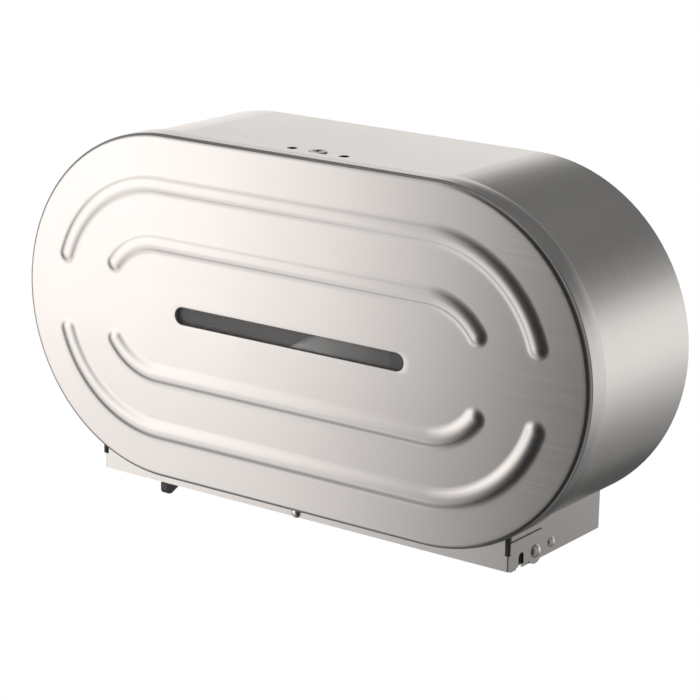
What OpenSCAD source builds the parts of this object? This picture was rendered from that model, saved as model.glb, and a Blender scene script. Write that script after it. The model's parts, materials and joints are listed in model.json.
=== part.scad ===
// Twin jumbo toilet roll dispenser for a wall, in brushed stainless steel.
// A drop-down cover turns on two rivets at the bottom of the cabinet. Behind it
// two rolls ride on plastic hubs, and a slider closes one paper outlet at a time.
//
// Origin: centre of the four wall bolts, on the back face.
// +X is right seen from the front, -Y is out from the wall, +Z is up.
// Pieces are drawn with local x to the right, y up and z out from the wall.

/* [Overall] */
// Width across the cover
overall_w = 528; // [500:1:550]
// Height of the cover face
face_h = 277; // [262:1:290]
// Depth from the wall to the cover face
overall_d = 145; // [138:1:160]
// Thickness of the stainless steel sheet
sheet = 1; // [0.8:0.1:1.2]

/* [Cover] */
// Depth of the skirt that turns back from the cover face
skirt_d = 22; // [18:1:26]
// Outside radius between the face and the skirt
edge_r = 3; // [2:0.5:6]
// Radius on the rear edge of the skirt
hem_r = 0.8; // [0.4:0.1:0.8]
// Free gap between the skirt and the cabinet
cover_gap = 1.3; // [1.2:0.1:2]
// How far the skirt reaches over the cabinet
overlap_d = 8; // [4:1:9]

/* [Beads] */
// Centre-line radius of the outer pair of beads
outer_bead_r = 99.4; // [90:0.5:106]
// Centre-line radius of the inner pair of beads
inner_bead_r = 53.1; // [40:0.5:60]
// Height of a bead above the face
bead_h = 1.8; // [1.2:0.1:3]
// Radius of a bead's crest
crest_r = 11; // [8:0.5:14]
// Radius of the lip where a bead meets the face
lip_r = 7.5; // [5:0.5:10]
// Height above the beads' middle at which they stop
bead_stop = 31; // [26:0.5:36]
// Drop of the beads' middle below the cover's middle
bead_drop = 0.8; // [0:0.2:3]

/* [Window] */
// Length of the viewing slot
slot_len = 215.6; // [160:0.2:230]
// Height of the viewing slot
slot_h = 13.5; // [8:0.5:18]
// Depth of the slot's turned-in lip, from the face
slot_lip = 3.5; // [2.5:0.5:5]
// Sideways distance of the slot's middle from the cover's middle
slot_shift = -2.6; // [-6:0.2:6]
// Drop of the slot below the cover's middle
slot_drop = 2; // [0:0.5:4]
// Thickness of the smoked window pane
pane_t = 2; // [1.5:0.5:3]
// Margin of the pane round the slot
pane_margin = 7; // [5:1:10]

/* [Base] */
// Outside width of the base between its side plates
base_w = 385; // [350:1:400]
// Drop of the base below the cover's lowest line
base_drop = 8.5; // [7:0.5:12]
// Drop of the side plates below the base
side_drop = 2.5; // [2.5:0.5:4]
// Setback of the apron behind the cover face
apron_set = 12; // [10:1:14]
// Gap between the apron and the side plates' front edge
apron_gap = 3; // [3:0.5:5]
// Length of each paper outlet
outlet_len = 130; // [110:1:140]
// Margin of the base in front of and behind the outlets
outlet_margin = 13.5; // [12:0.5:18]
// Distance of each outlet's middle from the centre
outlet_x = 105; // [100:1:108]
// Pitch of the teeth on the tear blades
tooth_pitch = 4; // [3:0.5:6]
// Depth of the teeth on the tear blades
tooth_d = 3; // [2:0.5:4]

/* [Hinge] */
// Distance of the pivot behind the apron's front face
pivot_back = 38; // [34:1:40]
// Height of the pivot above the base
pivot_rise = 6; // [5:0.5:8]
// Diameter of the pivot rivets' shanks
pivot_d = 5; // [4:0.5:6]
// Distance of the stop rivets behind the pivot
stop_back = 24; // [22:1:28]
// Height of the hinge ears' upper edge above the base
ear_rise = 21; // [18:1:24]
// Distance of the notch in each ear from the pivot
notch_ahead = 20; // [17:1:22]
// Radius of the notch in each ear
notch_r = 3.5; // [2.5:0.5:4]
// Free gap between the ears and the side plates
ear_gap = 0.5; // [0.4:0.1:1]

/* [Roll hubs] */
// Distance between the two hub axes
hub_spacing = 258; // [250:1:262]
// Outside diameter of a hub
hub_d = 54; // [44:1:60]
// Diameter of the disc behind a hub, which the roll runs against
hub_disc_d = 124; // [90:1:130]
// Length of a hub
hub_len = 88; // [80:1:95]
// Distance from the wall to the back of a hub
hub_start = 12; // [10:1:15]
// Diameter of the spindle posts
spindle_d = 12; // [10:1:16]
// Number of ribs inside a hub
rib_count = 6; // [4:1:8]
// Width of the stiffener between the hubs
stiffener_w = 17; // [12:1:24]
// Depth of the stiffener between the hubs
stiffener_d = 23; // [15:1:25]

/* [Slider] */
// Length of the slider panel
slider_len = 150; // [146:1:154]
// Distance of the finger fin from the panel's middle
fin_shift = 32; // [20:1:45]
// Depth of the finger fin, front to back
fin_d = 23; // [14:1:26]
// Reach of the finger fin below the base
fin_drop = 12.5; // [9:0.5:14]
// Thickness of the finger fin
fin_t = 6; // [4:0.5:8]

/* [Lock and latch] */
// Distance of the lock behind the cover face
lock_set = 34; // [32:1:38]
// Diameter of the lock barrel
lock_d = 12; // [10:1:14]
// Diameter of the lock plug
plug_d = 8; // [6:0.5:9]
// Width of the key slot in the plug
key_slot_w = 2.4; // [1:0.2:3]
// Distance between the two key pin holes
pin_spacing = 48.6; // [44:0.2:52]
// Diameter of the key pin holes
pin_d = 8; // [6:0.5:9]
// Thickness of the latch spring
spring_t = 0.8; // [0.6:0.1:1]
// Reach of the lock cam from the lock axis
cam_reach = 24; // [18:1:26]

/* [Wall mounting] */
// Distance between the wall bolt columns
bolt_x = 356; // [300:1:370]
// Distance between the wall bolt rows
bolt_z = 152; // [130:1:160]
// Diameter of the wall bolt holes
bolt_d = 7; // [5:0.5:9]

/* [Hidden] */
$fn = 96;

seat = 0.3;        // clearance of a piece that rests on its seat
running = 0.08;    // radial clearance of a turning fit
through = 1;       // how far a cutter reaches past what it cuts
small_r = 2;       // radius of the small rivets' shanks and of the studs

// Cover and cabinet
cover_r = face_h / 2;
cover_half = overall_w / 2 - cover_r;
shell_r = cover_r - sheet - cover_gap;
shell_front = overall_d - skirt_d + overlap_d;
shell_inside = shell_r - sheet;
flange_w = 12;

// Beads
bead_c = sqrt(pow(crest_r + lip_r, 2) - pow(lip_r + crest_r - bead_h, 2));
bead_turn = asin(bead_c / (crest_r + lip_r));
arc_steps = 4;
lip_bite = 0.05;   // how far a bead's lip runs into the face
dome_sink = 0.12;  // how far a bead's end dome lies under its crest

// Base
base_half = base_w / 2;
base_z = -(cover_r + base_drop);
side_z = base_z - side_drop;
apron_out = overall_d - apron_set;
tray_front = apron_out - sheet - apron_gap;
tray_back = 2 * sheet;
outlet_out = (tray_front + tray_back) / 2;
outlet_d = tray_front - tray_back - 2 * outlet_margin;
weld_tab = 6;
side_top = -sqrt(pow(shell_inside, 2) - pow(max(0, base_half - cover_half), 2)) + weld_tab;
side_slope = 4;

// Hinge
pivot_out = apron_out - pivot_back;
pivot_z = base_z + pivot_rise;
ear_x = base_half + ear_gap;
ear_front = apron_out - sheet - 2;
ear_round = 10;
notch_out = pivot_out + notch_ahead;
notch_z = base_z + 7;
cut_reach = 2 * cover_r;
cut_turn = acos((ear_x + 2 * sheet - cover_half) / cover_r);
head_r = 5.25;
stop_head_r = 4.25;

// Slider
slider_gap = seat;
slider_z = base_z - slider_gap - sheet;
fin_x = -outlet_x - fin_shift;
fin_front = tray_front - 1;
fin_back = fin_front - fin_d;
knob_rivet_out = fin_back - 5;
knob_foot_t = 2 * slider_gap + sheet;
rail_lip = 4;
rail_in = outlet_d / 2 + 3;

// Hubs
hub_x = hub_spacing / 2;
hub_wall = 2.5;
sleeve_r = spindle_d / 2 + 3;
hub_disc_r = hub_disc_d / 2;
foot_r = hub_d / 2 + 4;
spindle_foot_t = 2.5;
rivet_ring = foot_r - 7;
hub_end = hub_start + hub_len;

// Apron corners: a rubber buffer fills the room between the fold and the skirt
strip_end = base_half - sheet - seat;
buffer_lap = 0.8;
buffer_wrap = 1.2;
buffer_top = -sqrt(pow(cover_r, 2) - pow(max(0, strip_end - buffer_lap - cover_half), 2)) - 2 * seat;
fold_top = (base_z + buffer_top) / 2;
apron_rivet_z = base_z + 4;

// Lock and latch
lock_out = overall_d - lock_set;
shell_top = shell_r;
leaf_drop = 11.2;
leaf_z = shell_top - sheet - leaf_drop;
leaf_front = lock_out + 10.8;
leaf_back = lock_out - 51;
hook_x = 30;
hook_w = 14;
hook_h = 5.2;
stud_x = 8;
stud_out = leaf_back + 9;
nut_t = 3;
collar_r = lock_d / 2 + 1.5;
cam_t = 2;
cam_top = leaf_z - 0.4;
drive = 4;         // side of the plug's square end

// Turns a piece drawn flat, with its height out from the wall, upright.
module upright() {
    rotate([90, 0, 0]) children();
}

// Outline with straight long sides and round ends.
module stadium(half, r) {
    square([2 * half, 2 * r], center = true);
    for (s = [-1, 1]) translate([s * half, 0]) circle(r);
}

// Low dome, such as a rivet's head, with its flat side at z = 0.
module dome(r, h) {
    ball_r = (r * r + h * h) / (2 * h);
    intersection() {
        translate([0, 0, h - ball_r]) sphere(ball_r);
        cylinder(h = h, r = r);
    }
}

// Half section of a pressed pan: radius across, height up, front and rear edges rounded.
module pan_section(r, h, e) {
    translate([0, hem_r]) square([r, h - e - hem_r]);
    square([r - e, h]);
    square([r - hem_r, h - e]);
    translate([r - e, h - e]) circle(e);
    translate([r - hem_r, hem_r]) circle(hem_r);
}

// Solid pan form with round ends and a rounded front edge.
module pan_form(half, r, h, e) {
    for (s = [0, 1]) mirror([s, 0, 0]) translate([half, 0, 0])
        rotate([0, 0, -90]) rotate_extrude(angle = 180) pan_section(r, h, e);
    translate([-half, 0, 0]) rotate([90, 0, 90]) linear_extrude(2 * half) {
        pan_section(r, h, e);
        mirror([1, 0]) pan_section(r, h, e);
    }
}

// Right half of a bead's section: lip arc, crest arc, then down to its foot.
// A bead's crest is round (flat = 0); a dome ends in a small level disc (flat = 1).
function bead_points(foot, drop, flat = 0) = [
    [bead_c, -foot - drop],
    for (i = [0:arc_steps])
        let (a = bead_turn * i / arc_steps)
        [bead_c - lip_r * sin(a), lip_r * (1 - cos(a)) - drop - lip_bite],
    for (i = [1:arc_steps - 1])
        let (a = bead_turn * (1 - i / arc_steps))
        [crest_r * sin(a), bead_h - crest_r * (1 - cos(a)) - drop - lip_bite],
    [0, bead_h - flat * crest_r * (1 - cos(bead_turn / arc_steps)) - drop - lip_bite],
    [0, -foot - drop]
];

module bead_section(foot, drop) {
    polygon(bead_points(foot, drop));
    mirror([1, 0]) polygon(bead_points(foot, drop));
}

// One long bead along the upper half of the cover. Each curved end is cut off
// square at the stop and closed by a dome that sits a little inside it.
module bead(r, foot, drop) {
    stop_a = asin(bead_stop / r);
    tall = bead_h + foot + drop + 2 * through;
    translate([-cover_half, r, 0]) rotate([90, 0, 90])
        linear_extrude(2 * cover_half) bead_section(foot, drop);
    for (s = [0, 1]) mirror([s, 0, 0]) translate([cover_half, 0, 0]) {
        difference() {
            rotate_extrude(angle = 90) translate([r, 0]) bead_section(foot, drop);
            rotate([0, 0, stop_a]) translate([-r, -2 * r, -foot - drop - through])
                cube([3 * r, 2 * r, tall]);
        }
        translate([r * cos(stop_a), r * sin(stop_a), 0])
            rotate_extrude() polygon(bead_points(foot, drop + dome_sink, 1));
    }
}

module all_beads(foot, drop) translate([0, -bead_drop, 0]) {
    for (r = [outer_bead_r, inner_bead_r], s = [0, 1])
        mirror([0, s, 0]) bead(r, foot, drop);
}

// Box given by its two corners.
module span(low, high) {
    translate(low) cube(high - low);
}

// ---- Cabinet ----

module cabinet_shell() color("silver") upright() difference() {
    union() {
        difference() {
            linear_extrude(shell_front) stadium(cover_half, shell_r);
            translate([0, 0, -through]) linear_extrude(shell_front + 2 * through)
                stadium(cover_half, shell_inside);
        }
        translate([0, 0, sheet]) linear_extrude(sheet) difference() {
            stadium(cover_half, shell_inside + sheet / 2);
            stadium(cover_half, shell_inside - flange_w);
        }
    }
    span([-base_half, -2 * cover_r, -through], [base_half, -shell_r / 2, overall_d]);
    translate([0, shell_top - 2 * sheet, lock_out]) rotate([-90, 0, 0]) {
        cylinder(h = 3 * sheet, r = lock_d / 2);
        for (s = [-1, 1]) translate([s * pin_spacing / 2, 0, 0])
            cylinder(h = 3 * sheet, r = pin_d / 2);
    }
}

module back_plate() color("lightgray") upright() difference() {
    linear_extrude(sheet) union() {
        stadium(cover_half, shell_inside - seat);
        translate([-base_half + sheet + seat, side_z])
            square([2 * (base_half - sheet - seat), -side_z]);
    }
    for (x = [-bolt_x / 2, bolt_x / 2], z = [-bolt_z / 2, bolt_z / 2])
        translate([x, z, -through]) cylinder(h = sheet + 2 * through, r = bolt_d / 2);
    for (x = [-hub_x, hub_x], a = [30, 150, 270])
        translate([x, 0, -through]) rotate([0, 0, a]) translate([rivet_ring, 0, 0])
            cylinder(h = sheet + 2 * through, r = small_r);
}

// Outline of the notch near the front of an ear and of the side plate behind it.
module notch(r) {
    translate([notch_z, notch_out]) circle(r);
    translate([notch_z - 2 * ear_rise, notch_out - r]) square([2 * ear_rise, 2 * r]);
}

// Side plate of the base: its front edge leans back towards the top.
module side_plate() {
    corner = 3;
    translate([base_half - sheet, 0, 0]) rotate([90, 0, 90]) linear_extrude(sheet)
        difference() {
            polygon([[side_top, sheet], [side_z, sheet],
                for (a = [0:15:90]) [side_z + corner * (1 - sin(90 - a)),
                    tray_front - corner * (1 - sin(a))],
                [base_z + corner, tray_front], [side_top, tray_front - side_slope]]);
            for (out = [pivot_out, pivot_out - stop_back])
                translate([pivot_z, out]) circle(pivot_d / 2);
            notch(notch_r + seat);
        }
}

module outlet_tray() color("silver") upright() {
    flange_top = base_z + 13;
    difference() {
        union() {
            span([-base_half, base_z, sheet], [base_half, base_z + sheet, tray_front - sheet]);
            span([-base_half, base_z, tray_front - 2 * sheet],
                [base_half, flange_top, tray_front - sheet]);
            span([-base_half + sheet, base_z, sheet], [base_half - sheet, flange_top, 2 * sheet]);
        }
        for (s = [-1, 1]) translate([s * outlet_x, base_z - through, outlet_out])
            rotate([-90, 0, 0]) linear_extrude(sheet + 2 * through)
                square([outlet_len, outlet_d], center = true);
    }
    for (s = [0, 1]) mirror([s, 0, 0]) side_plate();
}

// Channel under the base that carries one edge of the slider, with end stops.
module slider_rail() {
    top = base_z;
    lip_z = slider_z - slider_gap - sheet;
    end = outlet_x + slider_len / 2 + seat;
    span([-end, lip_z, rail_in + seat + rail_lip], [end, top, rail_in + seat + rail_lip + sheet]);
    span([-end, lip_z, rail_in - rail_lip / 2], [end, lip_z + sheet, rail_in + seat + rail_lip]);
    for (s = [0, 1]) mirror([s, 0, 0])
        span([end, lip_z, rail_in - rail_lip / 2],
            [end + 2, top, rail_in + seat + rail_lip + sheet]);
}

module slider_rail_front() color("gainsboro") upright()
    translate([0, 0, outlet_out]) slider_rail();

module slider_rail_rear() color("gainsboro") upright()
    translate([0, 0, outlet_out]) mirror([0, 0, 1]) slider_rail();

// Saw-toothed strip across the outer end of an outlet, on top of the base.
module tear_blade() {
    teeth = floor((outlet_d - 8) / tooth_pitch);
    edge = outlet_x + outlet_len / 2;
    strip_w = 9;
    start = outlet_out - teeth * tooth_pitch / 2;
    points = concat(
        [[edge + strip_w, start]],
        [for (i = [0:teeth - 1], p = [[edge - 1, 0], [edge - 1 - tooth_d, tooth_pitch / 2]])
            [p[0], start + i * tooth_pitch + p[1]]],
        [[edge - 1, start + teeth * tooth_pitch],
            [edge + strip_w, start + teeth * tooth_pitch]]);
    translate([0, base_z + 2 * sheet, 0]) rotate([90, 0, 0]) linear_extrude(sheet)
        polygon(points);
}

module left_tear_blade() color("gray") upright() mirror([1, 0, 0]) tear_blade();

module right_tear_blade() color("gray") upright() tear_blade();

// Rivet through a side plate, drawn along +x with its head at x = head_x.
module side_rivet(head_x, r, h) {
    tail_r = pivot_d / 2 + 1.5;
    translate([head_x, 0, 0]) rotate([0, 90, 0]) dome(r, h);
    translate([base_half - sheet - 1.5, 0, 0]) rotate([0, 90, 0]) {
        cylinder(h = 1.5, r = tail_r);
        cylinder(h = head_x - base_half + sheet + 1.5, r = pivot_d / 2);
    }
}

module pivot_rivets() color("gainsboro") upright()
    for (s = [0, 1]) mirror([s, 0, 0]) translate([0, pivot_z, pivot_out])
        side_rivet(ear_x + sheet + seat, head_r, 3);

module stop_rivets() color("gainsboro") upright()
    for (s = [0, 1]) mirror([s, 0, 0]) translate([0, pivot_z, pivot_out - stop_back])
        side_rivet(base_half, stop_head_r, 2.4);

// Folded channel up the middle of the back plate, open towards the wall.
module centre_stiffener() color("silver") upright() {
    foot_w = 8;
    half = shell_inside - 16;
    half_w = stiffener_w / 2;
    translate([0, half, sheet]) rotate([90, 0, 0]) linear_extrude(2 * half) difference() {
        union() {
            translate([-half_w, 0]) square([stiffener_w, stiffener_d]);
            translate([-half_w - foot_w, 0]) square([stiffener_w + 2 * foot_w, sheet]);
        }
        translate([-half_w + sheet, -through])
            square([stiffener_w - 2 * sheet, stiffener_d - sheet + through]);
    }
}

// ---- Spindles ----

// Flanged post that carries a hub, with a shoulder that the hub runs against.
module spindle() {
    difference() {
        translate([0, 0, sheet]) rotate_extrude() polygon([
            [0, 0], [foot_r, 0], [foot_r, spindle_foot_t - 1], [foot_r - 13, spindle_foot_t],
            [sleeve_r, hub_start - seat - sheet], [spindle_d / 2, hub_start - seat - sheet],
            [spindle_d / 2, hub_end + seat - sheet], [0, hub_end + seat - sheet]]);
        for (a = [30, 150, 270]) rotate([0, 0, a]) translate([rivet_ring, 0, 0])
            cylinder(h = hub_start, r = small_r);
    }
}

module left_spindle() color("silver") upright() translate([-hub_x, 0, 0]) spindle();

module right_spindle() color("silver") upright() translate([hub_x, 0, 0]) spindle();

module spindle_rivets() color("gainsboro") upright()
    for (x = [-hub_x, hub_x], a = [30, 150, 270])
        translate([x, 0, 0]) rotate([0, 0, a]) translate([rivet_ring, 0, 0]) {
            cylinder(h = sheet + spindle_foot_t, r = small_r);
            translate([0, 0, sheet + spindle_foot_t]) dome(2 * small_r, 1.5);
        }

module hub_retainers() color("gainsboro") upright()
    for (x = [-hub_x, hub_x]) translate([x, 0, hub_end + seat]) {
        cylinder(h = 1.5, r = sleeve_r + 2);
        translate([0, 0, 1.5]) difference() {
            dome(6, 3);
            translate([-7, -0.6, 1.8]) cube([14, 1.2, 3]);
        }
    }

// ---- Lock and latch on the cabinet ----

// Moves a piece drawn along +z to the lock axis, with z = 0 at the shell's top.
module at_lock() {
    translate([0, -lock_out, shell_top]) children();
}

module lock_body() color("gainsboro") at_lock() difference() {
    union() {
        rotate_extrude() polygon([[0, 0], [collar_r, 0], [collar_r, 0.4],
            [collar_r - 0.6, 1], [0, 1]]);
        translate([0, 0, cam_top - shell_top]) cylinder(h = shell_top - cam_top, r = lock_d / 2);
    }
    translate([0, 0, cam_top - shell_top - through])
        cylinder(h = shell_top - cam_top + 2 + through, r = plug_d / 2 + running);
}

module lock_nut() color("silver") at_lock() translate([0, 0, -sheet - nut_t]) difference() {
    cylinder(h = nut_t, r = lock_d / 2 + 3.5, $fn = 6);
    translate([0, 0, -through]) cylinder(h = nut_t + 2 * through, r = lock_d / 2);
}

// Sprung steel leaf: its pad hangs on studs, its crossbar carries two hooks.
module latch_spring() color("dimgray") difference() {
    pad_z = shell_top - sheet;
    stem_half = 2 * stud_x;
    window_half = stem_half - 7;
    cross_back = lock_out - 11;
    slope_back = cross_back - 20;
    bend = spring_t / 2;
    union() {
        translate([-stem_half, 0, 0]) rotate([90, 0, 90]) linear_extrude(2 * stem_half)
            polygon([[-leaf_back, pad_z], [-slope_back, pad_z], [-cross_back, leaf_z + spring_t],
                [-leaf_front, leaf_z + spring_t], [-leaf_front, leaf_z],
                [-cross_back + bend, leaf_z], [-slope_back + bend, pad_z - spring_t],
                [-leaf_back, pad_z - spring_t]]);
        span([-hook_x - hook_w, -leaf_front, leaf_z],
            [hook_x + hook_w, -cross_back, leaf_z + spring_t]);
        for (s = [0, 1]) mirror([s, 0, 0]) span([hook_x, -leaf_front, leaf_z],
            [hook_x + hook_w, -leaf_front + spring_t, leaf_z + spring_t + hook_h]);
    }
    translate([0, -lock_out, leaf_z - through])
        cylinder(h = spring_t + 2 * through, r = collar_r);
    span([-window_half, -cross_back - 1, leaf_z - through],
        [window_half, -slope_back + 4, pad_z + through]);
    for (s = [-1, 1]) translate([s * stud_x, -stud_out, pad_z - spring_t - through])
        cylinder(h = spring_t + 2 * through, r = small_r);
}

module latch_studs() color("gainsboro")
    for (s = [-1, 1]) translate([s * stud_x, -stud_out, shell_top - sheet]) {
        translate([0, 0, -2 * nut_t]) cylinder(h = 2 * nut_t, r = small_r);
        translate([0, 0, -spring_t - nut_t]) cylinder(h = nut_t, r = 2 * small_r, $fn = 6);
    }

// ---- Cover ----

module cover_pan() color("silver") upright() difference() {
    union() {
        difference() {
            translate([0, 0, overall_d - skirt_d])
                pan_form(cover_half, cover_r, skirt_d, edge_r);
            translate([0, 0, overall_d - skirt_d - through])
                pan_form(cover_half, cover_r - sheet, skirt_d - sheet + through, edge_r - sheet);
        }
        translate([0, 0, overall_d]) all_beads(sheet / 2, 0);
        translate([slot_shift, -slot_drop, overall_d - slot_lip]) linear_extrude(slot_lip - sheet / 2)
            stadium(slot_len / 2 - slot_h / 2, slot_h / 2 + sheet);
    }
    translate([0, 0, overall_d]) all_beads(sheet / 2, sheet);
    translate([slot_shift, -slot_drop, overall_d - 2 * slot_lip]) linear_extrude(3 * slot_lip)
        stadium(slot_len / 2 - slot_h / 2, slot_h / 2);
    linear_extrude(apron_out) polygon([[-cover_half, 0], [cover_half, 0],
        [cover_half + cut_reach * cos(cut_turn), -cut_reach * sin(cut_turn)],
        [-cover_half - cut_reach * cos(cut_turn), -cut_reach * sin(cut_turn)]]);
}

// Apron across the bottom with a hinge ear folded back at each end.
module hinge_apron() color("silver") upright() {
    difference() {
        translate([0, 0, apron_out - sheet]) linear_extrude(sheet) difference() {
            union() {
                translate([-strip_end, base_z]) square([2 * strip_end, -base_z / 4]);
                translate([-ear_x, base_z]) square([2 * ear_x, fold_top - base_z]);
            }
            stadium(cover_half, shell_r - 6);
        }
        translate([0, apron_rivet_z, apron_out - sheet - through])
            cylinder(h = sheet + 2 * through, r = small_r);
    }
    for (s = [0, 1]) mirror([s, 0, 0]) {
        translate([ear_x, base_z, apron_out - sheet]) rotate([-90, 0, 0])
            cylinder(h = fold_top - base_z, r = sheet);
        hinge_ear();
    }
}

// Flat ear with a rounded eye on the pivot and a notch in its lower edge.
module hinge_ear() {
    ear_top = base_z + ear_rise;
    translate([ear_x, 0, 0]) rotate([90, 0, 90]) linear_extrude(sheet) difference() {
        union() {
            translate([base_z, pivot_out]) square([ear_top - base_z, ear_front - pivot_out]);
            translate([base_z, pivot_out]) square([fold_top - base_z, pivot_back - sheet]);
            translate([pivot_z, pivot_out - ear_round]) square([ear_top - pivot_z, ear_round]);
            translate([pivot_z, pivot_out]) circle(ear_round);
        }
        notch(notch_r);
        translate([pivot_z, pivot_out]) circle(pivot_d / 2 + running);
    }
}

module apron_rivet() color("gainsboro") upright() translate([0, apron_rivet_z, apron_out]) {
    dome(4.75, 2.4);
    translate([0, 0, -sheet]) cylinder(h = sheet, r = small_r);
    translate([0, 0, -sheet]) mirror([0, 0, 1]) dome(3.2, 1);
}

// Rubber buffers pushed over the two ends of the apron, above the fold.
module corner_bumpers() color("black") upright()
    for (s = [0, 1]) mirror([s, 0, 0]) difference() {
        low = fold_top + 2 * seat;
        outer = strip_end + 1.5 * buffer_wrap;
        back = apron_out - sheet - 1.4;
        round_r = (apron_out + buffer_wrap - back) / 2;
        union() {
            span([strip_end - buffer_lap, low, back], [outer, buffer_top, apron_out + buffer_wrap]);
            translate([outer, low, back + round_r]) rotate([-90, 0, 0])
                cylinder(h = buffer_top - low, r = round_r);
        }
        span([strip_end - 3, low - through, apron_out - sheet],
            [strip_end, buffer_top + through, apron_out]);
    }

module window_pane() color([0.25, 0.23, 0.22, 0.6]) upright()
    translate([slot_shift, -slot_drop, overall_d - slot_lip - pane_t]) linear_extrude(pane_t)
        stadium(slot_len / 2 - slot_h / 2, slot_h / 2 + pane_margin);

// Folded clips that hold the pane against the slot's lip.
module window_clips() color("silver") upright() {
    clip_w = 12;
    pane_half = slot_h / 2 + pane_margin;
    face_in = overall_d - sheet;
    pane_back = overall_d - slot_lip - pane_t;
    for (x = [-slot_len / 3, 0, slot_len / 3], s = [0, 1])
        translate([slot_shift + x - clip_w / 2, -slot_drop, 0]) mirror([0, s, 0]) {
            span([0, pane_half + seat, pane_back - sheet],
                [clip_w, pane_half + seat + sheet, face_in]);
            span([0, pane_half - 4, pane_back - sheet], [clip_w, pane_half + seat, pane_back]);
            span([0, pane_half + seat, face_in - sheet], [clip_w, pane_half + 9, face_in]);
        }
}

// Two-armed keeper behind the cover's top edge, whose lips the hooks catch.
module latch_keeper() color("silver") {
    face_in = overall_d - sheet;
    arm_z = leaf_z + spring_t + hook_h + 1;
    lip_out = leaf_front - spring_t - 0.6;
    foot_z = leaf_z - 6;
    span([-hook_x - hook_w, -face_in, foot_z], [hook_x + hook_w, -face_in + sheet, arm_z + sheet]);
    for (s = [0, 1]) mirror([s, 0, 0]) {
        span([hook_x + 1, -face_in, arm_z], [hook_x + hook_w - 1, -lip_out, arm_z + sheet]);
        span([hook_x + 1, -lip_out, leaf_z + spring_t + 1.6],
            [hook_x + hook_w - 1, -lip_out + sheet, arm_z + sheet]);
    }
}

// ---- Slider ----

module slider_panel() color("silver") upright() difference() {
    translate([-outlet_x, slider_z, outlet_out]) rotate([-90, 0, 0]) linear_extrude(sheet)
        square([slider_len, 2 * (rail_in + rail_lip)], center = true);
    translate([fin_x, slider_z - through, knob_rivet_out])
        rotate([-90, 0, 0]) cylinder(h = sheet + 2 * through, r = small_r);
}

// Finger fin that tapers towards its back, with a foot riveted under the panel.
module slider_knob() color("black") upright() {
    fin_top = slider_z - knob_foot_t;
    fin_low = base_z - fin_drop;
    corner = fin_d / 5;
    tip = 2.5;
    foot_ahead = 8;
    foot_behind = 10;
    translate([fin_x, 0, 0]) difference() {
        union() {
            translate([-fin_t / 2, 0, 0]) rotate([90, 0, 90]) linear_extrude(fin_t) {
                polygon([[fin_top, fin_back], [fin_top, fin_front], [fin_low + corner, fin_front],
                    [fin_low, fin_front - corner], [fin_low, fin_front - 1.5 * corner],
                    [fin_top - tip, fin_back]]);
                translate([fin_low + corner, fin_front - corner]) circle(corner);
            }
            span([-fin_t, fin_top, fin_back - foot_behind], [fin_t, slider_z, fin_back + foot_ahead]);
        }
        translate([0, fin_top - through, knob_rivet_out]) rotate([-90, 0, 0])
            cylinder(h = knob_foot_t + 2 * through, r = small_r);
    }
}

module knob_rivet() color("gainsboro") upright()
    translate([fin_x, slider_z - knob_foot_t, knob_rivet_out]) rotate([-90, 0, 0]) {
        cylinder(h = knob_foot_t + sheet, r = small_r);
        mirror([0, 0, 1]) dome(1.75 * small_r, 1.5);
    }

// ---- Lock cylinder ----

module lock_plug() color("gold") at_lock() difference() {
    union() {
        translate([0, 0, cam_top - shell_top])
            cylinder(h = shell_top - cam_top + 0.8, r = plug_d / 2);
        translate([-drive / 2, -drive / 2, cam_top - shell_top - cam_t])
            cube([drive, drive, cam_t]);
    }
    translate([-key_slot_w / 2, 1 - plug_d / 2, -2]) cube([key_slot_w, plug_d - 2, 4]);
}

module lock_cam() color("silver") translate([0, -lock_out, cam_top - cam_t]) difference() {
    tip_r = 5;
    union() {
        cylinder(h = cam_t, r = 1.3 * tip_r);
        translate([0, -tip_r, 0]) cube([cam_reach - tip_r, 2 * tip_r, cam_t]);
        translate([cam_reach - tip_r, 0, 0]) cylinder(h = cam_t, r = tip_r);
    }
    translate([-drive / 2, -drive / 2, -through]) cube([drive, drive, cam_t + 2 * through]);
}

module cam_screw() color("gainsboro") translate([0, -lock_out, cam_top - cam_t])
    mirror([0, 0, 1]) difference() {
        dome(4.5, 2.5);
        translate([-5, -0.5, 1.5]) cube([10, 1, 3]);
    }

// ---- Hubs ----

// Hollow hub: outer wall, inner sleeve, ribs, rear flange and closed nose.
module hub() {
    r = hub_d / 2;
    nose_t = 3;
    bevel = 2;
    difference() {
        union() {
            difference() {
                translate([0, 0, hub_start]) rotate_extrude() polygon([
                    [0, 0], [hub_disc_r, 0], [hub_disc_r, 2], [hub_disc_r - 1, 3],
                    [r, 3], [r, hub_len - bevel], [r - bevel, hub_len], [0, hub_len]]);
                translate([0, 0, hub_start - through])
                    cylinder(h = hub_len - nose_t + through, r = r - hub_wall);
            }
            translate([0, 0, hub_start]) cylinder(h = hub_len - nose_t / 2, r = sleeve_r);
            for (i = [0:rib_count - 1]) rotate([0, 0, 360 * i / rib_count])
                span([sleeve_r - 1, -1, hub_start + 2], [r - hub_wall / 2, 1, hub_end - nose_t / 2]);
        }
        translate([0, 0, hub_start - through])
            cylinder(h = hub_len + 2 * through, r = spindle_d / 2 + running);
    }
}

module left_hub() color("dimgray") upright() translate([-hub_x, 0, 0]) hub();

module right_hub() color("dimgray") upright() translate([hub_x, 0, 0]) hub();

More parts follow.
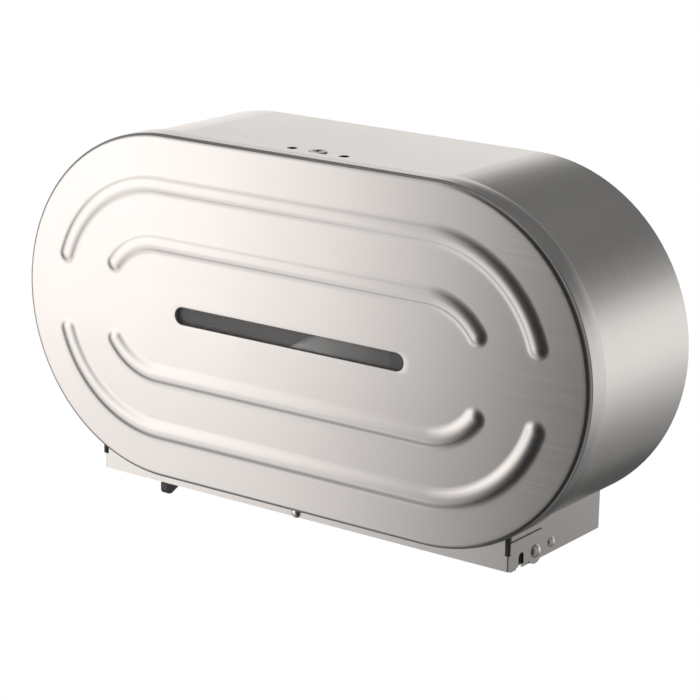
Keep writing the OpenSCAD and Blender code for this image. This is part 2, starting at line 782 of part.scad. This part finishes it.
cabinet_shell();
back_plate();
outlet_tray();
slider_rail_front();
slider_rail_rear();
left_tear_blade();
right_tear_blade();
pivot_rivets();
stop_rivets();
centre_stiffener();
left_spindle();
right_spindle();
spindle_rivets();
hub_retainers();
lock_body();
lock_nut();
latch_spring();
latch_studs();
cover_pan();
hinge_apron();
apron_rivet();
corner_bumpers();
window_pane();
window_clips();
latch_keeper();
slider_panel();
slider_knob();
knob_rivet();
lock_plug();
lock_cam();
cam_screw();
left_hub();
right_hub();
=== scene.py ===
import json
import math

import bpy
import numpy as np
from mathutils import Matrix, Vector


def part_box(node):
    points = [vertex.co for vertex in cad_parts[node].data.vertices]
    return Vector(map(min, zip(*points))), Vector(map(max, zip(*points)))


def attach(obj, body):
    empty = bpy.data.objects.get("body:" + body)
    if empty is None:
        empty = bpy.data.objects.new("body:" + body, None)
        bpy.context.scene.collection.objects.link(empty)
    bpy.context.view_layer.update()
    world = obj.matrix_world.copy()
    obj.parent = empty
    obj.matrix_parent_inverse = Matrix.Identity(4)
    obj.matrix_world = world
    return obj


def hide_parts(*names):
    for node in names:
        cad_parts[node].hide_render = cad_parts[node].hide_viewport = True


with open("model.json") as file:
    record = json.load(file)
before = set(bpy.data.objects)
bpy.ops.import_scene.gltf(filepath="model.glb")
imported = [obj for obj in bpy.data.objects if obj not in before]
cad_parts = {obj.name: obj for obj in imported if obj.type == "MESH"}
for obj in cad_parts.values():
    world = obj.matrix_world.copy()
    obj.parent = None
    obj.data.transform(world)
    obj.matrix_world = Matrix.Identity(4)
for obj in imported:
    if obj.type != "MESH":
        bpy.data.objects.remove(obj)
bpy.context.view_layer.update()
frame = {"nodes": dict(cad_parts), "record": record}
scene = bpy.context.scene

# Everything is in metres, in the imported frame: +X right, -Y out from the wall, +Z up.
MM = 0.001

# ---- Sizes ----

# The cover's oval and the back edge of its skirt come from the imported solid.
COVER_LOW, COVER_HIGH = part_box("cover_pan")
COVER_R = (COVER_HIGH[2] - COVER_LOW[2]) / 2
COVER_HALF = (COVER_HIGH[0] - COVER_LOW[0]) / 2 - COVER_R
SKIRT_BACK = -COVER_HIGH[1]

SHEET = 1.0 * MM
FACE_OUT = 145 * MM
EDGE_R = 4 * MM
HEM_R = 0.8 * MM
APRON_OUT = 133 * MM
# The skirt is cut away below the cover up to this X on each side, over the apron.
CUT_X = 195 * MM

# Beads: the ovals' radii, height, crest and lip radius, how far above and below the middle
# their ends stop, and how much lower than the middle the pattern sits.
OUTER_BEAD_R = 99.4 * MM
INNER_BEAD_R = 53.1 * MM
BEAD_H = 1.7 * MM
CREST_R = 16 * MM
BEAD_LIP_R = 14 * MM
BEAD_STOP = 31 * MM
BEAD_DROP = 0.8 * MM
# Half width of the finely meshed strip along a bead.
BEAD_SPAN = 10 * MM
# Against radius, from the heart to the edge: sideways shift and extra half length of the ovals.
RADII = (INNER_BEAD_R, OUTER_BEAD_R, COVER_R - EDGE_R)
SHIFTS = (-2.0 * MM, -1.3 * MM, 0.0)
STRETCHES = (1.8 * MM, 0.9 * MM, 0.0)

# Slot: half the distance between its round ends, their radius, where its middle lies, and the
# depth and rounding of its turned-in lip. HEART_R is where the oval starts to turn into it.
SLOT_HALF = 101.05 * MM
SLOT_R = 6.75 * MM
SLOT_SHIFT = -2.6 * MM
SLOT_DROP = 2 * MM
SLOT_LIP = 3.5 * MM
SLOT_ROUND = 1.0 * MM
HEART_R = 30 * MM

# Buffers: their section, corner radius, lower end, and gap below the cover's edge.
BUFFER_X = (191.3 * MM, 195.4 * MM)
BUFFER_OUT = (131.2 * MM, 134.2 * MM)
BUFFER_ROUND = 1.2 * MM
BUFFER_LOW = -134.4 * MM
BUFFER_GAP = 0.15 * MM

# Steps round the cover's oval in degrees, finer beside the beads' ends.
ARC_STEP = 2.0
FINE_STEP = 0.5
FINE_RANGE = (8, 40)
STRAIGHT_POINTS = 61
# Points across each zone of the cover, from the hem to the slot's lip.
HEM_POINTS = 5
SKIRT_POINTS = 5
EDGE_POINTS = 13
OUTER_POINTS = 12
BEAD_POINTS = 55
MIDDLE_POINTS = 16
INNER_POINTS = 8
HEART_POINTS = 9
LIP_POINTS = 7

# Corner step of a buffer's outline in degrees, and the angle beyond which an edge is sharp.
CORNER_STEP = 15
SHARP = math.radians(38)


def add(obj):
    scene.collection.objects.link(obj)
    return obj


# ---- Materials ----

# Range in which a noise moves.
NOISE_LOW, NOISE_HIGH = 0.3, 0.7


class Shader:
    """A node material that is built up step by step."""

    def __init__(self, name):
        self.material = bpy.data.materials.new(name)
        self.material.use_nodes = True
        self.tree = self.material.node_tree
        self.tree.nodes.clear()
        self.output = self.tree.nodes.new("ShaderNodeOutputMaterial")
        self.coordinates = self.tree.nodes.new("ShaderNodeTexCoord")

    def node(self, kind, inputs=(), **settings):
        made = self.tree.nodes.new(kind)
        for key, value in settings.items():
            setattr(made, key, value)
        for key, value in dict(inputs).items():
            self.put(made.inputs[key], value)
        return made

    def put(self, socket, value):
        if isinstance(value, bpy.types.NodeSocket):
            self.tree.links.new(value, socket)
        else:
            socket.default_value = value

    def math(self, operation, a, b=0.0, clamp=False):
        made = self.node("ShaderNodeMath", {0: a, 1: b}, operation=operation, use_clamp=clamp)
        return made.outputs[0]

    def vector(self, operation, a, b=(0.0, 0.0, 0.0)):
        made = self.node("ShaderNodeVectorMath", {0: a, 1: b}, operation=operation)
        return made.outputs["Vector"]

    def position(self):
        return self.coordinates.outputs["Object"]

    def normal(self):
        return self.coordinates.outputs["Normal"]

    def noise(self, vector, scale, detail=2.0, roughness=0.5):
        made = self.node("ShaderNodeTexNoise", {
            "Vector": vector, "Scale": scale, "Detail": detail, "Roughness": roughness})
        return made.outputs["Fac"]

    def spread(self, value, low, high):
        """Takes a noise, which stays near its middle, to low..high."""
        made = self.node("ShaderNodeMapRange", {
            "Value": value, "From Min": NOISE_LOW, "From Max": NOISE_HIGH,
            "To Min": low, "To Max": high})
        return made.outputs["Result"]

    def tint(self, value, dark, light):
        made = self.node("ShaderNodeMix", data_type="RGBA")
        self.put(made.inputs[0], value)
        self.put(made.inputs[6], (*dark, 1))
        self.put(made.inputs[7], (*light, 1))
        return made.outputs[2]

    def mix_vector(self, factor, a, b):
        made = self.node("ShaderNodeMix", data_type="VECTOR")
        self.put(made.inputs[0], factor)
        self.put(made.inputs[4], a)
        self.put(made.inputs[5], b)
        return made.outputs[1]

    def bump(self, height, distance):
        made = self.node("ShaderNodeBump", {
            "Height": height, "Distance": distance, "Strength": 1.0})
        return made.outputs["Normal"]

    def principled(self, **inputs):
        named = {key.replace("_", " "): value for key, value in inputs.items()}
        made = self.node("ShaderNodeBsdfPrincipled", named)
        self.tree.links.new(made.outputs[0], self.output.inputs[0])


STEEL_DARK = (0.63, 0.62, 0.61)
STEEL_LIGHT = (0.69, 0.68, 0.67)
COVER_DARK = (0.52, 0.51, 0.505)
COVER_LIGHT = (0.58, 0.57, 0.565)
PANE_DARK = (0.11, 0.108, 0.106)
PANE_LIGHT = (0.13, 0.128, 0.126)
PANE_ALPHA = 0.4

# Part of a normal along Y or X from which a face counts as looking forward or sideways.
FORWARD = 0.5
SIDEWAYS = 0.9
# Streaks per metre along each axis, on faces that look forward and on all others.
FACE_STREAKS = (7, 0, 1500)
BAND_STREAKS = (7, 1500, 7)
STREAK_SHARE = 0.6
MOTTLE_SCALE = 9.0
ANISOTROPY = 0.75
# How far the roughness strays: of brushed steel, and of the others as a share.
BRUSHED_SPREAD = 0.02
PLAIN_SPREAD = 0.1

METAL_GRAIN = 300.0
PLASTIC_GRAIN = 500.0
PLASTIC_BUMP = 0.05 * MM
HAZE = 40.0
PANE_ROUGHNESS = (0.10, 0.14)


def brushed_steel(name, roughness=0.25, dark=STEEL_DARK, light=STEEL_LIGHT, painted_side_shade=1.0):
    """Steel brushed along X where it faces forward, and round the oval elsewhere.

    Faces square to X have their colour multiplied by the side factor, a painted shade that darkens
    them."""
    s = Shader(name)
    across, along, _ = s.node("ShaderNodeSeparateXYZ", {0: s.normal()}).outputs
    forward = s.math("GREATER_THAN", s.math("ABSOLUTE", along), FORWARD)
    sideways = s.math("GREATER_THAN", s.math("ABSOLUTE", across), SIDEWAYS)

    round_way = s.vector("CROSS_PRODUCT", s.normal(), (0, 1, 0))
    grain = s.mix_vector(forward, round_way, (1.0, 0.0, 0.0))
    tangent = s.node("ShaderNodeVectorTransform", {0: grain}, vector_type="VECTOR",
                     convert_from="OBJECT", convert_to="WORLD").outputs[0]

    along_face = s.vector("MULTIPLY", s.position(), FACE_STREAKS)
    along_band = s.vector("MULTIPLY", s.position(), BAND_STREAKS)
    streaks = s.noise(s.mix_vector(forward, along_band, along_face), 1.0, detail=3, roughness=0.6)
    mottle = s.noise(s.position(), MOTTLE_SCALE, detail=3)
    tone = s.math("ADD", s.math("MULTIPLY", streaks, STREAK_SHARE),
                  s.math("MULTIPLY", mottle, 1 - STREAK_SHARE))
    # Painted shade: the colour of faces square to X is darkened by the side factor.
    painted_shade = s.tint(sideways, (1, 1, 1), (painted_side_shade,) * 3)
    s.principled(
        Base_Color=s.vector("MULTIPLY", s.tint(s.spread(tone, 0, 1), dark, light), painted_shade),
        Metallic=1.0,
        Roughness=s.spread(streaks, roughness - BRUSHED_SPREAD, roughness + BRUSHED_SPREAD),
        Anisotropic=ANISOTROPY, Tangent=tangent)
    return s.material


def uneven(s, grain, roughness):
    """Roughness that strays a little with the grain."""
    return s.spread(grain, roughness * (1 - PLAIN_SPREAD), roughness * (1 + PLAIN_SPREAD))


def plain_metal(name, dark, light, roughness):
    s = Shader(name)
    grain = s.noise(s.position(), METAL_GRAIN, detail=3)
    s.principled(Base_Color=s.tint(grain, dark, light), Metallic=1.0,
                 Roughness=uneven(s, grain, roughness))
    return s.material


def plastic(name, dark, light, roughness):
    s = Shader(name)
    grain = s.noise(s.position(), PLASTIC_GRAIN, detail=3)
    s.principled(Base_Color=s.tint(grain, dark, light), Roughness=uneven(s, grain, roughness),
                 Normal=s.bump(grain, PLASTIC_BUMP))
    return s.material


def smoked(name):
    s = Shader(name)
    haze = s.noise(s.position(), HAZE)
    s.principled(Base_Color=s.tint(haze, PANE_DARK, PANE_LIGHT),
                 Roughness=s.spread(haze, *PANE_ROUGHNESS), Alpha=PANE_ALPHA)
    return s.material


MATERIALS = {
    "stainless": brushed_steel("stainless"),
    "cover_steel": brushed_steel("cover_steel", dark=COVER_DARK, light=COVER_LIGHT),
    # The base's faces square to X carry a painted shade that darkens them to 0.58 of their colour.
    "stainless_base": brushed_steel("stainless_base", roughness=0.33, painted_side_shade=0.58),
    "inner_steel": plain_metal("inner_steel", (0.50, 0.50, 0.49), (0.60, 0.60, 0.59), 0.45),
    "rivet_steel": plain_metal("rivet_steel", (0.74, 0.73, 0.72), (0.82, 0.81, 0.80), 0.35),
    "spring_steel": plain_metal("spring_steel", (0.30, 0.29, 0.28), (0.36, 0.35, 0.34), 0.3),
    "blade_steel": plain_metal("blade_steel", (0.56, 0.56, 0.56), (0.64, 0.64, 0.64), 0.25),
    "lock_chrome": plain_metal("lock_chrome", (0.42, 0.42, 0.41), (0.50, 0.50, 0.49), 0.3),
    "brass": plain_metal("brass", (0.30, 0.27, 0.22), (0.38, 0.34, 0.28), 0.35),
    "black_rubber": plastic("black_rubber", (0.012, 0.012, 0.012), (0.02, 0.02, 0.02), 0.6),
    "black_plastic": plastic("black_plastic", (0.012, 0.012, 0.013), (0.02, 0.02, 0.02), 0.4),
    "hub_plastic": plastic("hub_plastic", (0.10, 0.10, 0.10), (0.13, 0.13, 0.13), 0.45),
    "smoked_pane": smoked("smoked_pane"),
}


def dress(obj, material):
    obj.data.materials.clear()
    obj.data.materials.append(material)


for part in frame["record"]["subparts"]:
    dress(frame["nodes"][part["node"]], MATERIALS[part["material_slot"]])


# ---- The cover ----

def bead_height(distance):
    """Height of a bead above the face at a distance from its centre line."""
    width = math.sqrt((CREST_R + BEAD_LIP_R) ** 2 - (CREST_R + BEAD_LIP_R - BEAD_H) ** 2)
    turn = CREST_R * width / (CREST_R + BEAD_LIP_R)
    crest = BEAD_H - CREST_R + np.sqrt(np.maximum(CREST_R ** 2 - distance ** 2, 0))
    lip = BEAD_LIP_R - np.sqrt(np.maximum(BEAD_LIP_R ** 2 - (width - distance) ** 2, 0))
    return np.where(distance < turn, crest, np.where(distance < width, lip, 0))


def oval(radius, centre):
    """Centres of the columns on the oval of that radius, which may be longer and off the middle."""
    longer = 1 + np.interp(radius, RADII, STRETCHES) / COVER_HALF
    return centre * longer + np.interp(radius, RADII, SHIFTS)


def bead_distance(x, z, radius):
    """Distance from the two beads that follow the oval at this radius."""
    stop = math.asin(BEAD_STOP / radius)
    left, right = oval(radius, np.array([-COVER_HALF, COVER_HALF]))
    past = np.maximum(np.maximum(x - right, left - x), 0)
    up = np.abs(z)
    angle = np.arctan2(up, past)
    line = np.abs(np.hypot(past, up) - radius)
    tip = np.hypot(past - radius * math.cos(stop), up - radius * math.sin(stop))
    return np.where(angle >= stop, line, tip)


def cover_columns():
    """(centre x, direction x, direction z) of each column, clockwise from the oval's top left."""
    coarse = np.arange(0, 90 + ARC_STEP, ARC_STEP)
    fine = np.arange(*FINE_RANGE, FINE_STEP)
    angles = np.unique(np.round(np.concatenate([coarse, fine, -fine, -coarse]), 3))[::-1]
    cut = -math.degrees(math.acos((CUT_X - COVER_HALF) / COVER_R))
    angles = np.sort(np.append(angles, cut))[::-1]
    straight = np.linspace(-COVER_HALF, COVER_HALF, STRAIGHT_POINTS)
    columns = [(x, 0.0, 1.0) for x in straight[:-1]]
    columns += [(COVER_HALF, math.cos(math.radians(a)), math.sin(math.radians(a)))
                for a in angles[:-1]]
    columns += [(-x, 0.0, -1.0) for x in straight[:-1]]
    columns += [(-COVER_HALF, -math.cos(math.radians(a)), math.sin(math.radians(a)))
                for a in angles[::-1][:-1]]
    return np.array(columns)


def cover_rings(columns):
    """Rings of points from the hem in to the slot's lip, and how many of them are on the skirt."""
    centre, nx, nz = columns.T
    slot_centre = SLOT_SHIFT + centre / COVER_HALF * SLOT_HALF
    rings = []

    def place(middle, radius, out, drop=0.0):
        rings.append(np.stack([middle + radius * nx, np.full(len(columns), -out),
                               radius * nz - drop], 1))
        return rings[-1]

    def ring(radius, out):
        return place(oval(radius, centre), radius, out)

    for turn in np.linspace(0, math.pi / 2, HEM_POINTS)[:-1]:
        ring(COVER_R - HEM_R + HEM_R * math.sin(turn), SKIRT_BACK + HEM_R - HEM_R * math.cos(turn))
    skirt_rings = len(rings) + 1
    for out in (SKIRT_BACK + HEM_R, APRON_OUT):
        ring(COVER_R, out)
    for out in np.linspace(APRON_OUT, FACE_OUT - EDGE_R, SKIRT_POINTS)[1:]:
        ring(COVER_R, out)
    for turn in np.linspace(0, math.pi / 2, EDGE_POINTS)[1:]:
        ring(COVER_R - EDGE_R + EDGE_R * math.cos(turn),
             FACE_OUT - EDGE_R + EDGE_R * math.sin(turn))

    across = np.linspace(-BEAD_SPAN, BEAD_SPAN, BEAD_POINTS)
    for radius in np.concatenate([
            np.linspace(COVER_R - EDGE_R, OUTER_BEAD_R + BEAD_SPAN, OUTER_POINTS)[1:-1],
            OUTER_BEAD_R - across,
            np.linspace(OUTER_BEAD_R - BEAD_SPAN, INNER_BEAD_R + BEAD_SPAN, MIDDLE_POINTS)[1:-1],
            INNER_BEAD_R - across,
            np.linspace(INNER_BEAD_R - BEAD_SPAN, HEART_R, INNER_POINTS)[1:]]):
        x, y, z = ring(radius, FACE_OUT).T
        for bead in (OUTER_BEAD_R, INNER_BEAD_R):
            y -= bead_height(bead_distance(x, z + BEAD_DROP, bead))

    heart = rings[-1]
    rim = place(slot_centre, SLOT_R + SLOT_ROUND, FACE_OUT, SLOT_DROP)
    rings[-1:] = [heart * (1 - share) + rim * share
                  for share in np.linspace(0, 1, HEART_POINTS)[1:]]
    for turn in np.linspace(0, math.pi / 2, LIP_POINTS)[1:]:
        place(slot_centre, SLOT_R + SLOT_ROUND - SLOT_ROUND * math.sin(turn),
              FACE_OUT - SLOT_ROUND + SLOT_ROUND * math.cos(turn), SLOT_DROP)
    place(slot_centre, SLOT_R, FACE_OUT - SLOT_LIP, SLOT_DROP)
    return rings, skirt_rings


def cover_mesh():
    """Outer side of the pan, open at the slot and where the skirt is cut away."""
    columns = cover_columns()
    rings, skirt_rings = cover_rings(columns)
    count = len(columns)
    faces = []
    for i in range(len(rings) - 1):
        for j in range(count):
            k = (j + 1) % count
            middle = (rings[0][j, 0] + rings[0][k, 0]) / 2
            cut_away = i < skirt_rings and rings[0][j, 2] < 0 and abs(middle) < CUT_X
            if not cut_away:
                faces.append((i * count + j, (i + 1) * count + j,
                              (i + 1) * count + k, i * count + k))
    mesh = bpy.data.meshes.new("cover_skin")
    mesh.from_pydata([tuple(p) for p in np.concatenate(rings)], [], faces)
    mesh.update()
    return mesh


def thicken(name, mesh, thickness):
    """A sheet of that thickness whose outer side is the mesh."""
    thin = add(bpy.data.objects.new(name, mesh))
    solid = thin.modifiers.new("sheet", "SOLIDIFY")
    solid.thickness = thickness
    solid.offset = -1
    solid.use_even_offset = True
    bpy.context.view_layer.update()
    evaluated = thin.evaluated_get(bpy.context.evaluated_depsgraph_get())
    baked = bpy.data.meshes.new_from_object(evaluated)
    thin.modifiers.clear()
    thin.data = baked
    baked.polygons.foreach_set("use_smooth", [True] * len(baked.polygons))
    baked.set_sharp_from_angle(angle=SHARP)
    return thin


cover = thicken("cover_sheet", cover_mesh(), SHEET)
dress(cover, MATERIALS["cover_steel"])
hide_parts("cover_pan")
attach(cover, "cover")


# ---- Rubber buffers between the apron and the cover, also a painted line of shade ----

def buffer_outline():
    """(x, out) round a buffer's section, with round corners."""
    middle_x, middle_out = (BUFFER_X[0] + BUFFER_X[1]) / 2, (BUFFER_OUT[0] + BUFFER_OUT[1]) / 2
    half_x, half_out = (BUFFER_X[1] - BUFFER_X[0]) / 2, (BUFFER_OUT[1] - BUFFER_OUT[0]) / 2
    outline = []
    for turn in np.radians(np.arange(0, 360, CORNER_STEP)):
        along, up = math.cos(turn), math.sin(turn)
        corner_x = math.copysign(half_x - BUFFER_ROUND, along)
        corner_out = math.copysign(half_out - BUFFER_ROUND, up)
        outline.append((middle_x + corner_x + BUFFER_ROUND * along,
                        middle_out + corner_out + BUFFER_ROUND * up))
    return outline


def buffers_mesh():
    """Two upright strips that end just below the cover's edge."""
    outline = buffer_outline()
    count = len(outline)
    points, faces = [], []
    for side in (-1, 1):
        first = len(points)
        low = [(side * x, -out, BUFFER_LOW) for x, out in outline]
        high = [(side * x, -out, -math.sqrt(COVER_R ** 2 - (x - COVER_HALF) ** 2) - BUFFER_GAP)
                for x, out in outline]
        points += low + high
        for i in range(count):
            k = (i + 1) % count
            wall = (first + i, first + k, first + count + k, first + count + i)
            faces.append(wall if side < 0 else wall[::-1])
        floor = tuple(range(first, first + count))
        lid = tuple(range(first + count, first + 2 * count))
        faces += [floor[::-1], lid] if side < 0 else [floor, lid[::-1]]
    mesh = bpy.data.meshes.new("buffers")
    mesh.from_pydata(points, [], faces)
    mesh.polygons.foreach_set("use_smooth", [True] * len(mesh.polygons))
    mesh.set_sharp_from_angle(angle=SHARP)
    return mesh


# The black buffers reach up to the cover's edge, so they also stand for the line of shade between
# the apron's ends and the side plates.
buffers = add(bpy.data.objects.new("buffers", buffers_mesh()))
dress(buffers, MATERIALS["black_rubber"])
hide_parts("corner_bumpers")
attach(buffers, "cover")


# ---- Studio ----

# Camera fitted to the outline in the photo: its place, and its right, up and back directions.
CAMERA_AT = Vector((1.12569, -1.63013, 0.51655))
CAMERA_RIGHT = Vector((0.80879, 0.58784, 0.01730))
CAMERA_UP = Vector((-0.17328, 0.21009, 0.96220))
CAMERA_BACK = Vector((0.56199, -0.78122, 0.27178))
SENSOR = 36
LENS = 132.0
VIEW_END = 50

TENT_RADIUS = 6.0
TENT_SEGMENTS = 64
TENT_RINGS = 32
WARM = (1.0, 0.955, 0.925)
NEUTRAL = (1.0, 1.0, 0.985)
# Share of the warm colour for each unit of light.
WARMING = 0.7
# Light from above against elevation, and from beside the object against azimuth, in degrees.
ROOM_HEIGHTS = ((-90, 0.03), (50, 0.03), (65, 0.3), (90, 0.3))
ROOM_SIDES = ((-180, 0.03), (-118, 0.03), (-106, 0.38), (-82, 0.38), (-72, 0.03), (48, 0.03),
              (84, 0.38), (104, 0.4), (120, 0.03), (180, 0.03))

# Bright walls behind the object, in degrees of azimuth: where each starts and is full.
RIGHT_WALL_EDGE = (116, 144)
LEFT_WALL_EDGE = (-108, -122)
RIGHT_WALL_LIGHT = 1.15
LEFT_WALL_LIGHT = 1.3
# Brightness of the walls against elevation in degrees.
RIGHT_WALL_HEIGHTS = ((-90, 0.14), (-38, 0.16), (-31, 0.26), (-21, 0.6), (-14, 0.92),
                      (-9, 1.02), (3, 1.0), (6, 0.93), (15, 0.33), (26, 0.14), (38, 0.21),
                      (90, 0.2))
LEFT_WALL_HEIGHTS = ((-90, 0.04), (-30, 0.06), (-20, 0.1), (-10, 0.8), (0, 1.0), (16, 1.0),
                     (20, 0.42), (25, 0.14), (35, 0.14), (90, 0.12))

# Soft box before the face: its distance from the face, and its glow across and up, in metres.
BOX_AHEAD = 0.7
BOX_LIGHT = 2.15
BOX_ACROSS = ((-2.1, 0.02), (-1.4, 0.9), (-0.85, 1.0), (-0.57, 0.98), (-0.28, 0.34),
              (-0.19, 0.01), (-0.087, 0.01))
BOX_UP = ((-2.5, 0.2), (-1.3, 0.3), (-0.95, 0.4), (-0.75, 0.75), (-0.42, 0.78), (-0.25, 1.0),
          (0.15, 1.04), (0.35, 0.78), (1.5, 0.25))

# Small lamp inside the cabinet, for the glimpse of the back plate through the slot.
LAMP_AT = (-0.17, -0.10, -0.10)
LAMP_TOWARDS = (0.16, 0.10, 0.06)
LAMP_SIZE = 0.04
LAMP_POWER = 0.02

FLOOR_Z = -0.75
FLOOR_SIZE = 8
FLOOR_SPECKS = 3.0
FLOOR_DARK = (0.80, 0.80, 0.80)
FLOOR_LIGHT = (0.84, 0.84, 0.84)


def profile(s, value, points):
    """Follows the (value, level) points with straight lines between them."""
    low, high = points[0][0], points[-1][0]
    top = max(level for _, level in points)
    place = s.node("ShaderNodeMapRange", {
        "Value": value, "From Min": low, "From Max": high, "To Min": 0.0, "To Max": 1.0})
    made = s.node("ShaderNodeValToRGB", {0: place.outputs["Result"]})
    ramp = made.color_ramp
    ramp.elements.remove(ramp.elements[1])
    for i, (at, level) in enumerate(points):
        element = ramp.elements[0] if i == 0 else ramp.elements.new((at - low) / (high - low))
        element.position = (at - low) / (high - low)
        element.color = (level / top,) * 3 + (1,)
    return s.math("MULTIPLY", made.outputs[0], top)


def glow(s, level):
    """Light of that level, a little warmer where it is bright."""
    made = s.node("ShaderNodeEmission", {
        "Color": s.tint(s.math("MULTIPLY", level, WARMING, clamp=True), NEUTRAL, WARM),
        "Strength": level})
    s.tree.links.new(made.outputs[0], s.output.inputs[0])
    return s.material


def tent_shader():
    """Studio round the object: bright walls behind it, dim light beside and above it."""
    s = Shader("tent")
    x, y, z = s.node("ShaderNodeSeparateXYZ", {0: s.vector("NORMALIZE", s.position())}).outputs
    azimuth = s.math("MULTIPLY", s.math("ARCTAN2", x, s.math("MULTIPLY", y, -1.0)), 180 / math.pi)
    elevation = s.math("MULTIPLY", s.math("ARCSINE", z), 180 / math.pi)

    def wall(edge, heights, light):
        start = s.node("ShaderNodeMapRange", {
            "Value": azimuth, "From Min": edge[0], "From Max": edge[1],
            "To Min": 0.0, "To Max": light}, interpolation_type="SMOOTHSTEP")
        return s.math("MULTIPLY", start.outputs["Result"], profile(s, elevation, heights))

    right = wall(RIGHT_WALL_EDGE, RIGHT_WALL_HEIGHTS, RIGHT_WALL_LIGHT)
    left = wall(LEFT_WALL_EDGE, LEFT_WALL_HEIGHTS, LEFT_WALL_LIGHT)
    room = s.math("MAXIMUM", profile(s, elevation, ROOM_HEIGHTS), profile(s, azimuth, ROOM_SIDES))
    return glow(s, s.math("MAXIMUM", s.math("MAXIMUM", left, right), room))


def soft_box_shader():
    s = Shader("soft_box")
    across, up, _ = s.node("ShaderNodeSeparateXYZ", {0: s.position()}).outputs
    level = s.math("MULTIPLY", profile(s, across, BOX_ACROSS), profile(s, up, BOX_UP))
    return glow(s, s.math("MULTIPLY", level, BOX_LIGHT))


def floor_shader():
    """Pale grey under the object, and white for the camera."""
    s = Shader("floor")
    light_path = s.node("ShaderNodeLightPath")
    speck = s.noise(s.position(), FLOOR_SPECKS)
    matt = s.node("ShaderNodeBsdfDiffuse", {"Color": s.tint(speck, FLOOR_DARK, FLOOR_LIGHT)})
    white = s.node("ShaderNodeEmission", {"Color": (1, 1, 1, 1), "Strength": 1.0})
    blend = s.node("ShaderNodeMixShader", {
        0: light_path.outputs["Is Camera Ray"], 1: matt.outputs[0], 2: white.outputs[0]})
    s.tree.links.new(blend.outputs[0], s.output.inputs[0])
    return s.material


def light_only_by_reflection(obj):
    for ray in ("camera", "diffuse", "transmission", "volume_scatter", "shadow"):
        setattr(obj, "visible_" + ray, False)


def make_camera():
    data = bpy.data.cameras.new("camera")
    data.sensor_width = SENSOR
    data.lens = LENS
    data.clip_end = VIEW_END
    camera = add(bpy.data.objects.new("camera", data))
    turned = Matrix((CAMERA_RIGHT, CAMERA_UP, CAMERA_BACK)).transposed().to_4x4()
    camera.matrix_world = Matrix.Translation(CAMERA_AT) @ turned
    bpy.context.scene.camera = camera


def make_world():
    world = bpy.data.worlds.new("studio")
    scene.world = world
    world.use_nodes = True
    tree = world.node_tree
    tree.nodes.clear()
    sky = tree.nodes.new("ShaderNodeBackground")
    sky.inputs["Color"].default_value = (1, 1, 1, 1)
    sky.inputs["Strength"].default_value = 1.0
    tree.links.new(sky.outputs[0], tree.nodes.new("ShaderNodeOutputWorld").inputs[0])


def make_lamp():
    data = bpy.data.lights.new("inner_light", "AREA")
    data.size = LAMP_SIZE
    data.energy = LAMP_POWER
    inner_light = add(bpy.data.objects.new("inner_light", data))
    inner_light.location = LAMP_AT
    inner_light.rotation_euler = Vector(LAMP_TOWARDS).to_track_quat("-Z", "Y").to_euler()
    inner_light.visible_camera = False


def make_tent():
    bpy.ops.mesh.primitive_uv_sphere_add(
        segments=TENT_SEGMENTS, ring_count=TENT_RINGS, radius=TENT_RADIUS)
    tent = bpy.context.object
    tent.name = "tent"
    dress(tent, tent_shader())
    light_only_by_reflection(tent)


def make_soft_box():
    left, right = BOX_ACROSS[0][0], BOX_ACROSS[-1][0]
    low, high = BOX_UP[0][0], BOX_UP[-1][0]
    mesh = bpy.data.meshes.new("soft_box")
    mesh.from_pydata([(left, low, 0), (right, low, 0), (right, high, 0), (left, high, 0)],
                     [], [(0, 1, 2, 3)])
    soft_box = add(bpy.data.objects.new("soft_box", mesh))
    soft_box.location = (0, -FACE_OUT - BOX_AHEAD, 0)
    soft_box.rotation_euler = (math.pi / 2, 0, 0)
    dress(soft_box, soft_box_shader())
    light_only_by_reflection(soft_box)


def make_floor():
    bpy.ops.mesh.primitive_plane_add(size=FLOOR_SIZE, location=(0, 0, FLOOR_Z))
    floor = bpy.context.object
    floor.name = "floor"
    dress(floor, floor_shader())
    floor.visible_glossy = False


make_camera()
scene.view_settings.view_transform = "Standard"
make_world()
make_lamp()
make_tent()
make_soft_box()
make_floor()
